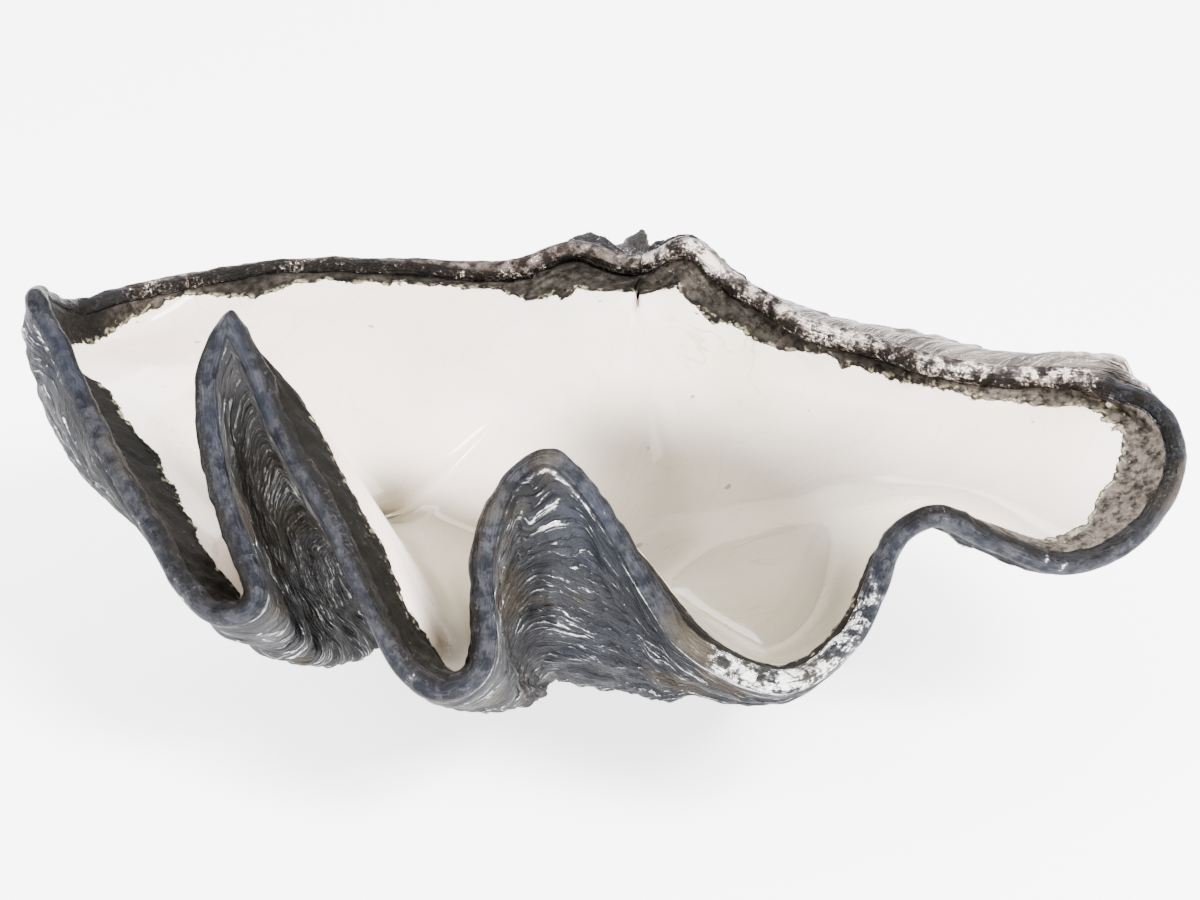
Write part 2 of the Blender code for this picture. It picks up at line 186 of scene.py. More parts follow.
# Grids: the smooth shape is worked out on a coarse one and refined to a fine one;
# the first NEAR_ROWS rows of each sheet are the young shell, kept as pieces of their own
BASE_COLUMNS = 150
BASE_ROWS = 50
FINE_COLUMNS = 560
FINE_ROWS = 240
ROW_POWER = 1.7
NEAR_ROWS = 120
LIP_ROWS = 13

# Width of the silver inside the lip, mm, by place on the lip
SILVER = {
    "left_end": 10,
    "left_dip": 16,
    "tooth_0": 32,
    "tooth_0_upper": 47,
    "tooth_0_side": 38,
    "tooth_0_lower": 24,
    "tooth_0_foot": 34,
    "rib_0": 26,
    "tooth_1_lower": 12,
    "tooth_1_side": 12,
    "tooth_1": 30,
    "tooth_1_back_upper": 24,
    "tooth_1_back_side": 19,
    "tooth_1_back_lower": 18,
    "tooth_1_back_foot": 28,
    "rib_1": 30,
    "tooth_2_lower": 12,
    "tooth_2": 16,
    "tooth_2_back_side": 14,
    "tooth_2_back_lower": 14,
    "rib_2": 7,
    "tooth_3_lower": 7,
    "tooth_3": 4,
    "rib_3": 14,
    "right_front": 26,
    "right_end": 25,
    "right_back": 18,
    "right_hinge_end": 9,
}

# How much thicker the wall gets for every mm inside the lip, by place on the lip,
# fading over the reach in mm
LEAN = {
    "left_end": 0.0,
    "tooth_1": 0.0,
    "tooth_1_back_neck": 0.35,
    "tooth_1_back_upper": 0.50,
    "tooth_1_back_side": 0.50,
    "tooth_1_back_lower": 0.35,
    "rib_1": 0.0,
    "tooth_2": 0.0,
    "tooth_2_back_neck": 0.35,
    "tooth_2_back_side": 0.55,
    "tooth_2_back_lower": 0.50,
    "rib_2": 0.0,
}
LEAN_REACH = 65.0

# Width of the silver inside the two hinge lines: X in the valve's axes, mm
SILVER_HINGE = (
    (-308, 10), (-290, 5), (-272, 4), (-250, 18), (-235, 14), (-220, 9), (-164, 5), (-104, 7), (-92, 18),
    (-78, 24), (-24, 18), (23, 18), (49, 14), (73, 9), (102, 7), (158, 6), (210, 8), (238, 9),
)

# How far the lip is rubbed bright, by place on the lip
BURNISH = {
    "left_end": 0.1,
    "tooth_0": 0.1,
    "rib_0": 0.45,
    "tooth_1_lower": 0.1,
    "tooth_1": 0.05,
    "tooth_1_back_lower": 0.1,
    "rib_1": 0.5,
    "tooth_2_side": 0.1,
    "tooth_2": 0.35,
    "tooth_2_back_side": 0.3,
    "tooth_2_back_foot": 0.6,
    "rib_2": 0.88,
    "tooth_3_foot": 0.85,
    "tooth_3_side": 0.5,
    "tooth_3": 0.1,
    "tooth_3_back": 0.3,
    "rib_3": 0.4,
    "right_front": 0.42,
    "right_end": 0.32,
    "right_back": 0.3,
    "right_hinge_end": 0.3,
}

# Painted light deep in the outer folds: how much lighter their silver is painted, by place on the lip
FOLD_PAINTED_LIGHT = {
    "left_end": 0.0,
    "tooth_0_side": 0.3,
    "rib_0": 0.2,
    "tooth_1_lower": 0.7,
    "tooth_1_upper": 0.8,
    "tooth_1": 1.0,
    "tooth_1_back_upper": 0.9,
    "tooth_1_back_lower": 0.6,
    "rib_1": 0.1,
    "tooth_2_lower": 0.6,
    "tooth_2_side": 0.5,
    "tooth_2": 0.0,
    "right_hinge_end": 0.0,
}

# Lamellae: spacing in mm, height in mm, seed
LAMELLAE = ((29.0, 3.0, 21), (12.5, 2.0, 22), (6.8, 1.1, 23))

# On the middle tooth they run down from its right side: mm of growth to a mm along
TILT = 0.3
TILT_REACH = 60.0

# Near the right end of the hinge they stand out as scutes: mm from the end, half width, how much more
SCUTES = (75.0, 45.0, 1.5)

# Lumps: height in mm, size along and across in mm, seed; on the lip across is in rows
INNER_LUMPS = ((0.8, 9.0, 8.0, 41), (0.5, 4.0, 4.0, 42))
LIP_LUMPS = ((0.7, 11.0, 3.0, 51), (0.35, 4.5, 2.0, 52))

# The hollow is smoothed close to the beak
POLE_REACH = 30.0
POLE_PASSES = 60

# Value of the band where there is silver everywhere, mm
ALL_SILVER = 99.0

# Noises of the materials: scale to a metre, detail, roughness
PLATE_GRAIN = (520.0, 4.0, 0.7)
PLATE_PATCH = (34.0, 4.0, 0.62)
PLATE_WIDE = (12.0, 3.0, 0.5)
PLATE_SPECKLE = (140.0, 5.0, 0.70)
PLATE_TINT = (17.0, 2.0, 0.5)
GRAIN = (300.0, 4.0, 0.7)
PITS = (120.0, 4.0, 0.65)
CLOUD = (34.0, 3.0, 0.6)
ASH_SPOTS = (190.0, 5.0, 0.7)
EDGE_FINE = (95.0, 4.0, 0.62)
EDGE_WIDE = (30.0, 2.0, 0.5)
LUMP = (230.0, 2.0, 0.5)
HAZE = (9.0, 4.0, 0.55)
GLOSS = (60.0, 5.0, 0.6)
CAST = (5.5, 3.0, 0.5)
VEINS = (12.0, 3.0, 0.5)
SPECKS = (110.0, 1.0, 0.4)

# Colours of the plating; a pair is from low to high
SLATE = ((0.013, 0.014, 0.017, 1), (0.036, 0.037, 0.042, 1))
# Painted light: the lighter silver painted deep in the outer folds
SLATE_PAINTED_LIGHT = (0.150, 0.145, 0.140, 1)
SLATE_LIP = ((0.006, 0.007, 0.010, 1), (0.042, 0.042, 0.048, 1))
SLATE_BLUE = (0.020, 0.024, 0.037, 1)
SLATE_BROWN = (0.070, 0.056, 0.036, 1)
CREVICE = (0.006, 0.0055, 0.005, 1)
HINGE_BROWN = ((0.016, 0.012, 0.010, 1), (0.170, 0.138, 0.120, 1))
BRIGHT_SILVER = ((0.66, 0.64, 0.60, 1), (0.84, 0.83, 0.82, 1))
HINGE_SILVER = (0.74, 0.64, 0.58, 1)
PLATE_SOOT = ((0.003, 0.0026, 0.002, 1), (0.016, 0.014, 0.012, 1))

# Colours of the inside
SOOT = ((0.002, 0.002, 0.002, 1), (0.010, 0.009, 0.007, 1))
ASH = ((0.012, 0.010, 0.008, 1), (0.135, 0.112, 0.094, 1))
SPARK = (0.50, 0.48, 0.44, 1)
BEAD = (0.012, 0.010, 0.008, 1)
GILT = (0.40, 0.36, 0.24, 1)
WHITE = ((0.88, 0.780, 0.720, 1), (0.78, 0.690, 0.600, 1))
WHITE_GREEN = (0.66, 0.63, 0.40, 1)
WHITE_PINK = (0.80, 0.58, 0.51, 1)
VEIN = (0.40, 0.28, 0.18, 1)
GROWTH_LINE = (0.46, 0.40, 0.32, 1)
SPECK = (0.26, 0.18, 0.11, 1)
# Painted shade with a beige cast, multiplied over the deep bowl and the deep channel beside it
BOWL_PAINTED_SHADE = (0.160, 0.150, 0.108, 1)
CHANNEL_PAINTED_SHADE = (0.110, 0.108, 0.052, 1)

# Studio, in metres and watts: name, place, size, power of each light
LIGHT_AIM = (0, 0, 0.1)
LIGHTS = (
    ("key", (1.5, -1.3, 2.0), (1.0, 1.0), 330),
    ("fill", (-1.9, -1.2, 1.8), (1.2, 1.2), 50),
    ("back", (0.3, 2.2, 1.7), (2.2, 0.8), 60),
)
FLOOR_HALF = 20
FLOOR_DROP = 0.0002
FLOOR_GREY = 0.90
FLOOR_ROUGHNESS = 0.9
FLOOR_GLOW = 3.2
SKY_HEIGHTS = (-0.1, 0.9)
SKY_STRENGTHS = (0.8, 2.3)
SENSOR = 36.0


def unit(v):
    return v / (np.linalg.norm(v, axis=-1, keepdims=True) + 1e-12)


def smoothstep(v, low, high):
    q = np.clip((v - low) / (high - low), 0.0, 1.0)
    return q * q * (3.0 - 2.0 * q)


def runs(curve):
    step = np.linalg.norm(np.diff(curve[:, :3], axis=0), axis=1)
    return np.concatenate([[0.0], np.cumsum(step)])


def spline(points, per_span):
    """Smooth open curve through every point; the first three columns are the place."""
    points = np.array(points, float)
    rows = np.vstack([2 * points[0] - points[1], points, 2 * points[-1] - points[-2]])
    out = []
    for i in range(1, len(rows) - 2):
        p0, p1, p2, p3 = rows[i - 1:i + 3]
        t0 = 0.0
        t1 = t0 + math.sqrt(np.linalg.norm((p1 - p0)[:3]))
        t2 = t1 + math.sqrt(np.linalg.norm((p2 - p1)[:3]))
        t3 = t2 + math.sqrt(np.linalg.norm((p3 - p2)[:3]))
        for t in np.linspace(t1, t2, per_span, endpoint=False):
            a1 = p0 * (t1 - t) / (t1 - t0) + p1 * (t - t0) / (t1 - t0)
            a2 = p1 * (t2 - t) / (t2 - t1) + p2 * (t - t1) / (t2 - t1)
            a3 = p2 * (t3 - t) / (t3 - t2) + p3 * (t - t2) / (t3 - t2)
            b1 = a1 * (t2 - t) / (t2 - t0) + a2 * (t - t0) / (t2 - t0)
            b2 = a2 * (t3 - t) / (t3 - t1) + a3 * (t - t1) / (t3 - t1)
            out.append(b1 * (t2 - t) / (t2 - t1) + b2 * (t - t1) / (t2 - t1))
    out.append(points[-1])
    return np.array(out)


def soften(curve, reach):
    """The curve with its folds averaged away over the reach, its ends held."""
    run = runs(curve)
    before = 2 * curve[0] - curve[:0:-1]
    after = 2 * curve[-1] - curve[-2::-1]
    rows = np.vstack([before, curve, after])
    place = np.concatenate([-run[:0:-1], run, 2 * run[-1] - run[-2::-1]])
    weight = np.exp(-((place[None, :] - run[:, None]) / reach) ** 2 / 2)
    return weight @ rows / weight.sum(1)[:, None]


def lip_marks(run):
    """How far along the lip every named point is."""
    return {name: run[SPAN * k] for k, name in enumerate(LIP_LINE)}


def lip_columns(count):
    """Columns along the lip: place, turn, fullness (out, down, time), and the soft line."""
    curve = spline(list(LIP_LINE.values()), SPAN)
    run = runs(curve)
    mark = lip_marks(run)
    at = [mark[name] for name in FULLER]
    full = [np.interp(run, at, [row[k] for row in FULLER.values()]) for k in range(3)]
    rows = np.column_stack([curve] + full)
    # half by length and half by named point, so tight folds get more columns
    index = np.arange(len(curve)) / (len(curve) - 1)
    share = 0.5 * run / run[-1] + 0.5 * index
    want = np.linspace(0.0, 1.0, count)
    soft = soften(curve, FOLD_SOFT_REACH)
    columns = np.stack([np.interp(want, share, rows[:, k]) for k in range(rows.shape[1])], 1)
    softer = np.stack([np.interp(want, share, soft[:, k]) for k in range(3)], 1)
    return columns, softer


def turned(t):
    """Angle turned after growth time t: slow at the lip, then steady, then coming to rest."""
    limit = math.radians(TURN_TOTAL)
    angle = TURN_RATE * t - TURN_LAG * (1.0 - np.exp(-t / TURN_LAG_TIME))
    angle = np.maximum(angle, 0.0)
    return limit * np.tanh((angle / limit) ** 2.2) ** (1.0 / 2.2)


def width_share(columns, t):
    side = smoothstep(columns[:, 0], -125.0, 75.0)
    curve = WIDTH_CURVE_LEFT + (WIDTH_CURVE_RIGHT - WIDTH_CURVE_LEFT) * side
    return np.exp(-(WIDTH_RATE * t + curve * t * t))


def grow(columns, soft, t, beak, phi, fade, closing):
    """Copies of the lip, scaled and turned about the beak."""
    m = columns[None, :, :3] + fade[..., None] * (soft - columns[:, :3])[None] - np.array(beak)
    size = np.exp(-t) * closing
    c, s = np.cos(phi), np.sin(phi)
    x = width_share(columns, t) * closing * m[..., 0]
    y = size * (m[..., 1] * c - m[..., 2] * s)
    z = size * (m[..., 1] * s + m[..., 2] * c)
    return np.stack([x, y, z], 2) + np.array(beak)


def outside(columns, soft, times):
    t = times[:, None]
    fade = FOLD_FADE * (1.0 - np.exp(-(t / FOLD_FADE_TIME) ** 2))
    late = 1.0 - np.exp(-(t / 0.9) ** 2)
    factor = columns[:, 3]
    phi = turned(t) * (factor + (1.0 - factor) * late)
    closing = 1.0 - smoothstep(t, GROWTH_END - 0.8, GROWTH_END)
    sheet = grow(columns, soft, t, BEAK, phi, fade, closing)
    out = np.stack([(soft[:, 0] + 30.0) / 300.0 ** 2, (soft[:, 1] + 150.0) / 170.0 ** 2], 1)
    out = unit(out)
    peak = columns[:, 6]
    bump = (t / peak) * np.exp(1.0 - t / peak) * closing
    sheet[..., 0] += columns[:, 4] * bump * out[:, 0]
    sheet[..., 1] += columns[:, 4] * bump * out[:, 1]
    sheet[..., 2] -= columns[:, 5] * bump
    run = runs(columns)
    for edge, line, away, pull in (
        (0, HINGE_LEFT, run, 70.0),
        (-1, HINGE_RIGHT, run[-1] - run, 30.0),
    ):
        trace = spline(line, SPAN)
        order = np.argsort(trace[:, 0])
        share = (width_share(columns, t) * closing)[:, edge]
        x = BEAK[0] + share * (line[0][0] - BEAK[0])
        y = np.interp(x, trace[order, 0], trace[order, 1])
        z = np.interp(x, trace[order, 0], trace[order, 2])
        move = np.stack([x, y, z], 1) - sheet[:, edge]
        sheet = sheet + move[:, None] * np.exp(-(away / pull) ** 1.5)[None, :, None]
    back, up, reach, fade_start, fade_end = SHELF
    away = (run[-1] - run) / reach
    shelf = away * np.exp(1.0 - away) * smoothstep(t, 0.02, 0.25)
    shelf = shelf * (1.0 - smoothstep(t, fade_start, fade_end))
    sheet[..., 1] += back * shelf
    sheet[..., 2] += up * shelf
    return sheet


def raise_lumps(points):
    """Swell the hinge beside the beak; the shape below it stays."""
    near = np.exp(-((points[..., 1] - 2.0) / 30.0) ** 2) * smoothstep(points[..., 2], -45.0, 2.0)
    for middle, half, height in BEAK_LUMPS:
        points[..., 2] += height * near * np.exp(-((points[..., 0] - middle) / half) ** 2)
    return points


def hollow(columns, soft, times):
    t = times[:, None]
    fade = HOLLOW_FADE * (1.0 - np.exp(-(t / 0.22) ** 1.5))
    cap = math.radians(HOLLOW_TURN)
    share = HOLLOW_SLOWER * turned(t) * columns[:, 3] / cap
    phi = cap * share / (1.0 + share ** 3) ** (1.0 / 3.0)
    closing = 1.0 - smoothstep(t, GROWTH_END - 1.2, GROWTH_END)
    return grow(columns, soft, t, HOLLOW_BEAK, phi, fade, closing)


def inward(sheet, passes):
    """Way from the outside into the hollow at every place of the sheet."""
    n = unit(np.cross(np.gradient(sheet, axis=1), np.gradient(sheet, axis=0)))
    n[0] = n[1]
    n[-1] = n[-3]
    n[-2] = n[-3]
    n[:, 0] = n[:, 2]
    n[:, 1] = n[:, 2]
    n[:, -1] = n[:, -3]
    n[:, -2] = n[:, -3]
    for _ in range(passes):
        n[:, 1:-1] = unit(n[:, :-2] + 2 * n[:, 1:-1] + n[:, 2:])
        n[1:-1] = unit(n[:-2] + 2 * n[1:-1] + n[2:])
    return n


def edge_places(rows, columns):
    """The sheet's edge as a ring: beak, left hinge line, lip, right hinge line."""
    left = [(i, 0) for i in range(rows - 2, 0, -1)]
    front = [(0, j) for j in range(columns)]
    right = [(i, columns - 1) for i in range(1, rows - 1)]
    return [(rows - 1, 0)] + left + front + right


def ring_mean(v, passes):
    for _ in range(passes):
        v = (np.roll(v, 1, 0) + 2 * v + np.roll(v, -1, 0)) / 4
    return v


def keep_wall(inner, outer, ways, held):
    """Move the hollow's surface until no wall is thinner than allowed."""
    rows, columns = outer.shape[:2]
    faces = []
    for i in range(rows - 1):
        for j in range(columns - 1):
            k = i * columns + j
            faces.append((k, k + 1, k + columns + 1, k + columns))
    points = [Vector(p) for p in outer.reshape(-1, 3)]
    tree = BVHTree.FromPolygons(points, faces)
    flat_ways = ways.reshape(-1, 3)
    for _ in range(WALL_PASSES):
        for i in range(3, rows - 1):
            for j in range(1, columns - 1):
                place, _, face, gap = tree.find_nearest(Vector(inner[i, j]))
                way = Vector(flat_ways[faces[face][0]])
                side = (Vector(inner[i, j]) - place).dot(way)
                depth = gap if side > 0 else -gap
                if depth < WALL_LEAST:
                    inner[i, j] += np.array(way) * (WALL_LEAST - depth)
        # the ends of the outer folds can reach between the hollow's own points
        inside = BVHTree.FromPolygons([Vector(p) for p in inner.reshape(-1, 3)], faces)
        for i in range(3, 2 * rows // 3):
            for j in range(2, columns - 2):
                place, _, face, gap = inside.find_nearest(points[i * columns + j])
                way = ways[i, j]
                side = (place - points[i * columns + j]).dot(Vector(way))
                depth = gap if side > 0 else -gap
                if depth < WALL_LEAST and gap < 3 * WALL_LEAST:
                    for corner in faces[face]:
                        row, column = divmod(corner, columns)
                        if row > 2 and not held[row, column]:
                            inner[row, column] += way * (WALL_LEAST - depth) / 3
        calm = inner.copy()
        calm[1:-1, 1:-1] = (
            4 * inner[1:-1, 1:-1] + inner[:-2, 1:-1] + inner[2:, 1:-1]
            + inner[1:-1, :-2] + inner[1:-1, 2:]
        ) / 8
        inner = np.where(held[..., None], inner, calm)
    return inner


def field(u, v, seed):
    """Smooth seeded heights between -1 and 1, one lattice cell to a unit."""
    table = np.random.default_rng(seed).uniform(-1.0, 1.0, (128, 128))
    u, v = np.broadcast_arrays(u, v)
    iu, iv = np.floor(u).astype(int), np.floor(v).astype(int)
    fu, fv = u - iu, v - iv
    fu = fu * fu * (3 - 2 * fu)
    fv = fv * fv * (3 - 2 * fv)
    a, b = iu % 128, (iu + 1) % 128
    c, d = iv % 128, (iv + 1) % 128
    low = table[a, c] * (1 - fu) + table[b, c] * fu
    high = table[a, d] * (1 - fu) + table[b, d] * fu
    return low * (1 - fv) + high * fv


def cubic_rows(rows, place, want):
    """Values between the rows, through a smooth curve in every column."""
    slope = np.gradient(rows, place, axis=0)
    k = np.clip(np.searchsorted(place, want, "right") - 1, 0, len(place) - 2)
    step = (place[k + 1] - place[k])
    shape = (-1,) + (1,) * (rows.ndim - 1)
    q = ((want - place[k]) / step).reshape(shape)
    step = step.reshape(shape)
    h0 = 2 * q ** 3 - 3 * q ** 2 + 1
    h1 = q ** 3 - 2 * q ** 2 + q
    h2 = 3 * q ** 2 - 2 * q ** 3
    h3 = q ** 3 - q ** 2
    return h0 * rows[k] + h1 * step * slope[k] + h2 * rows[k + 1] + h3 * step * slope[k + 1]


def refine(sheet, times, want_times, share, want_share):
    tall = cubic_rows(sheet, times, want_times)
    wide = cubic_rows(np.swapaxes(tall, 0, 1), share, want_share)
    return np.swapaxes(wide, 0, 1)


def base_shape():
    """The smooth outside and hollow on the coarse grid, and which way is down off the lip ring."""
    times = GROWTH_END * np.linspace(0.0, 1.0, BASE_ROWS) ** ROW_POWER
    columns, soft = lip_columns(BASE_COLUMNS)
    outer = outside(columns, soft, times)
    ways = inward(outer, 3)
    ring = edge_places(len(times), BASE_COLUMNS)
    place = np.array([outer[ij] for ij in ring])
    along = unit(np.roll(place, -1, 0) - np.roll(place, 1, 0))
    way = np.array([ways[ij] for ij in ring])
    way[0] = unit(way[3] + way[-3])
    way = unit(ring_mean(way, 8))
    way = unit(way - (way * along).sum(1)[:, None] * along)
    down = np.cross(way, along)
    number = {ij: k for k, ij in enumerate(ring)}
    front = [number[(0, j)] for j in range(BASE_COLUMNS)]
    run = runs(columns)
    shift = (down - way) * LIP_RADIUS
    shift[0] = (shift[2] + shift[-2]) / 2
    moves = shift[front][None] * np.exp(-times / 0.10)[:, None, None]
    for edge, away in ((0, run), (BASE_COLUMNS - 1, run[-1] - run)):
        at = [number.get((i, edge), 0) for i in range(len(times))]
        share = np.exp(-((away / 45.0) ** 1.5))[None, :, None]
        moves = moves * (1.0 - share) + shift[at][:, None] * share
    outer = outer + moves
    outer[-1] = np.array(BEAK) + shift[0]
    thick = 2 * LIP_RADIUS + WALL_MORE * smoothstep(times, 0.0, 0.3)[:, None, None]
    wall_ways = ways.copy()
    wall_ways[0] = way[front]
    near = outer + wall_ways * thick
    deep = hollow(columns, soften(soft, HOLLOW_SOFT_REACH), times)
    share = smoothstep(times, 0.02, 0.40)[:, None, None]
    inner = near * (1.0 - share) + deep * share
    for edge, away in ((0, run), (BASE_COLUMNS - 1, run[-1] - run)):
        at = [number.get((i, edge), 0) for i in range(len(times))]
        want = outer[:, edge] + way[at] * 2 * LIP_RADIUS
        move = want - inner[:, edge]
        inner = inner + move[:, None] * np.exp(-(away / 60.0) ** 1.5)[None, :, None]
    inner[-1] = (inner[-2, 0] + inner[-2, -1]) / 2
    fixed = np.zeros(inner.shape[:2], bool)
    for ij in ring:
        fixed[ij] = True
    fixed[-1] = True
    inner = keep_wall(inner, outer, ways, fixed)
    edges = []
    for side in (0, BASE_COLUMNS - 1):
        at = [number.get((i, side), 0) for i in range(len(times))]
        edges.append(down[at])
    edges.append(down[front])
    return times, columns, raise_lumps(outer), raise_lumps(inner), edges


def lamellae(grown, along, rib, middle):
    """Height of the lamellae in mm, how far it is a raised edge, and the wandering growth place."""
    g = grown[:, None]
    s = along[None, :]
    layer = g + 7.0 * field(s / 55.0, g / 70.0, 11) + 2.6 * field(s / 17.0, g / 30.0, 12)
    away = TILT_REACH * np.tanh((s - middle) / TILT_REACH)
    layer = layer + TILT * away * smoothstep(g, 4.0, 45.0)
    height = 0.0
    for spacing, tall, seed in LAMELLAE:
        place = (layer + 0.35 * spacing * field(s / 40.0, g / (2.2 * spacing), seed)) / spacing
        part = place - np.floor(place)
        step = smoothstep(part, 0.0, 0.18) * (1.0 - part) ** 1.4
        ease = 0.65 + 0.5 * field(s / 30.0, g / (1.5 * spacing), seed + 10)
        height = height + tall * step * ease
    growth = smoothstep(g, 2.0, 16.0) * (1.0 - 0.5 * smoothstep(g, 250.0, 420.0))
    rough = 0.6 * field(s / 5.0, g / 4.0, 31) + 1.0 * field(s / 14.0, g / 9.0, 32)
    crest = np.clip(height / 4.5, 0.0, 1.0) * growth
    height = (height * (0.8 + 0.5 * rib[None, :])) * growth + rough * (0.25 + 0.75 * growth)
    return height, crest, layer


def fine_shape():
    """The smooth shape on the fine grid, with how far each row has grown and each column lies along."""
    times, columns, outer, inner, edges = base_shape()
    share = np.linspace(0.0, 1.0, BASE_COLUMNS)
    want_share = np.linspace(0.0, 1.0, FINE_COLUMNS)
    want_times = GROWTH_END * np.linspace(0.0, 1.0, FINE_ROWS) ** ROW_POWER
    outer = refine(outer, times, want_times, share, want_share)
    inner = refine(inner, times, want_times, share, want_share)
    outer[-1] = outer[-1, 0]
    inner[-1] = inner[-1, 0]
    along = np.interp(want_share, share, runs(columns))
    step = np.linalg.norm(np.diff(outer, axis=0), axis=2).mean(1)
    grown = np.concatenate([[0.0], np.cumsum(step)])
    ring = edge_places(FINE_ROWS, FINE_COLUMNS)
    number = {ij: k for k, ij in enumerate(ring)}
    down = np.zeros((len(ring), 3))
    left = [number.get((i, 0), 0) for i in range(FINE_ROWS - 1)]
    right = [number.get((i, FINE_COLUMNS - 1), 0) for i in range(FINE_ROWS - 1)]
    front = [number[(0, j)] for j in range(FINE_COLUMNS)]
    for target, rows, at, want in (
        (left, edges[0], times, want_times[:-1]),
        (right, edges[1], times, want_times[:-1]),
        (front, edges[2], share, want_share),
    ):
        for k in range(3):
            down[target, k] = np.interp(want, at, rows[:, k])
    down[0] = unit(down[2] + down[-2])
    down = unit(ring_mean(down, 4))
    return want_times, along, grown, outer, inner, ring, down


def smooth_normals(points, faces):
    total = np.zeros_like(points)
    a, b, c, d = (points[faces[:, k]] for k in range(4))
    flat = np.cross(c - a, d - b)
    for k in range(4):
        np.add.at(total, faces[:, k], flat)
    return unit(total)


def sheet_quads(index, flip):
    """Four-cornered faces between neighbouring rows and columns of point numbers."""
    a, b = index[:-1, :-1], index[:-1, 1:]
    c, d = index[1:, 1:], index[1:, :-1]
    quads = np.stack([a, b, c, d], -1).reshape(-1, 4)
    return quads[:, ::-1] if flip else quads


def make_piece(name, points, normals, values, faces, material):
    """A mesh of the faces, with its normals and the values its material reads."""
    used, local = np.unique(faces, return_inverse=True)
    local = local.reshape(faces.shape)
    rows = [list(dict.fromkeys(face)) for face in local.tolist()]
    mesh = bpy.data.meshes.new(name)
    mesh.from_pydata((points[used] * MM).tolist(), [], rows)
    mesh.polygons.foreach_set("use_smooth", [True] * len(mesh.polygons))
    for label, data in values.items():
        layer = mesh.attributes.new(label, "FLOAT", "POINT")
        layer.data.foreach_set("value", data[used].astype(np.float32))
    mesh.materials.append(material)
    mesh.update()
    mesh.normals_split_custom_set_from_vertices(normals[used].tolist())
    obj = bpy.data.objects.new(name, mesh)
    bpy.context.scene.collection.objects.link(obj)
    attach(obj, "root")
    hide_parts("shell")


class Nodes:
    """Small helper to build a material's nodes."""

    def __init__(self, name):
        self.material = bpy.data.materials.new(name)
        self.material.use_nodes = True
        self.tree = self.material.node_tree
        self.shader = self.tree.nodes["Principled BSDF"]

    def node(self, kind, **settings):
        made = self.tree.nodes.new(kind)
        for key, value in settings.items():
            setattr(made, key, value)
        return made

    def put(self, socket, value):
        if isinstance(value, bpy.types.NodeSocket):
            self.tree.links.new(value, socket)
        else:
            socket.default_value = value

    def value(self, label):
        return self.node("ShaderNodeAttribute", attribute_name=label).outputs["Fac"]

    def math(self, kind, a, b=0.0, c=0.0):
        made = self.node("ShaderNodeMath", operation=kind)
        for socket, value in zip(made.inputs, (a, b, c)):
            self.put(socket, value)
        return made.outputs[0]

    def plus(self, a, b):
        return self.math("ADD", a, b)

    def times(self, a, b):
        return self.math("MULTIPLY", a, b)

    def scaled(self, a, by, plus):
        return self.math("MULTIPLY_ADD", a, by, plus)

    def rest_of(self, a):
        return self.math("SUBTRACT", 1.0, a)

    def ramp(self, value, low, high, start=0.0, end=1.0):
        made = self.node("ShaderNodeMapRange", interpolation_type="SMOOTHSTEP")
        for label, given in zip(
            ("Value", "From Min", "From Max", "To Min", "To Max"), (value, low, high, start, end)
        ):
            self.put(made.inputs[label], given)
        return made.outputs["Result"]

    def vector(self, x, y, z):
        made = self.node("ShaderNodeCombineXYZ")
        for socket, value in zip(made.inputs, (x, y, z)):
            self.put(socket, value)
        return made.outputs[0]

    def noise(self, scale, detail=3.0, rough=0.55, where=None, twist=0.0):
        made = self.node("ShaderNodeTexNoise")
        if where is None:
            where = self.node("ShaderNodeTexCoord").outputs["Object"]
        self.put(made.inputs["Vector"], where)
        self.put(made.inputs["Scale"], scale)
        self.put(made.inputs["Detail"], detail)
        self.put(made.inputs["Roughness"], rough)
        self.put(made.inputs["Distortion"], twist)
        return made.outputs["Fac"]

    def mix(self, share, a, b, blend="MIX"):
        made = self.node("ShaderNodeMix", data_type="RGBA", blend_type=blend)
        self.put(made.inputs["Factor"], share)
        colours = [s for s in made.inputs if s.type == "RGBA"]
        self.put(colours[0], a)
        self.put(colours[1], b)
        return [s for s in made.outputs if s.type == "RGBA"][0]

    def mix_value(self, share, a, b):
        made = self.node("ShaderNodeMix", data_type="FLOAT")
        self.put(made.inputs[0], share)
        self.put(made.inputs[2], a)
        self.put(made.inputs[3], b)
        return made.outputs[0]

    def bump(self, height, strength, distance):
        made = self.node("ShaderNodeBump")
        self.put(made.inputs["Strength"], strength)
        self.put(made.inputs["Distance"], distance)
        self.put(made.inputs["Height"], height)
        return made.outputs[0]


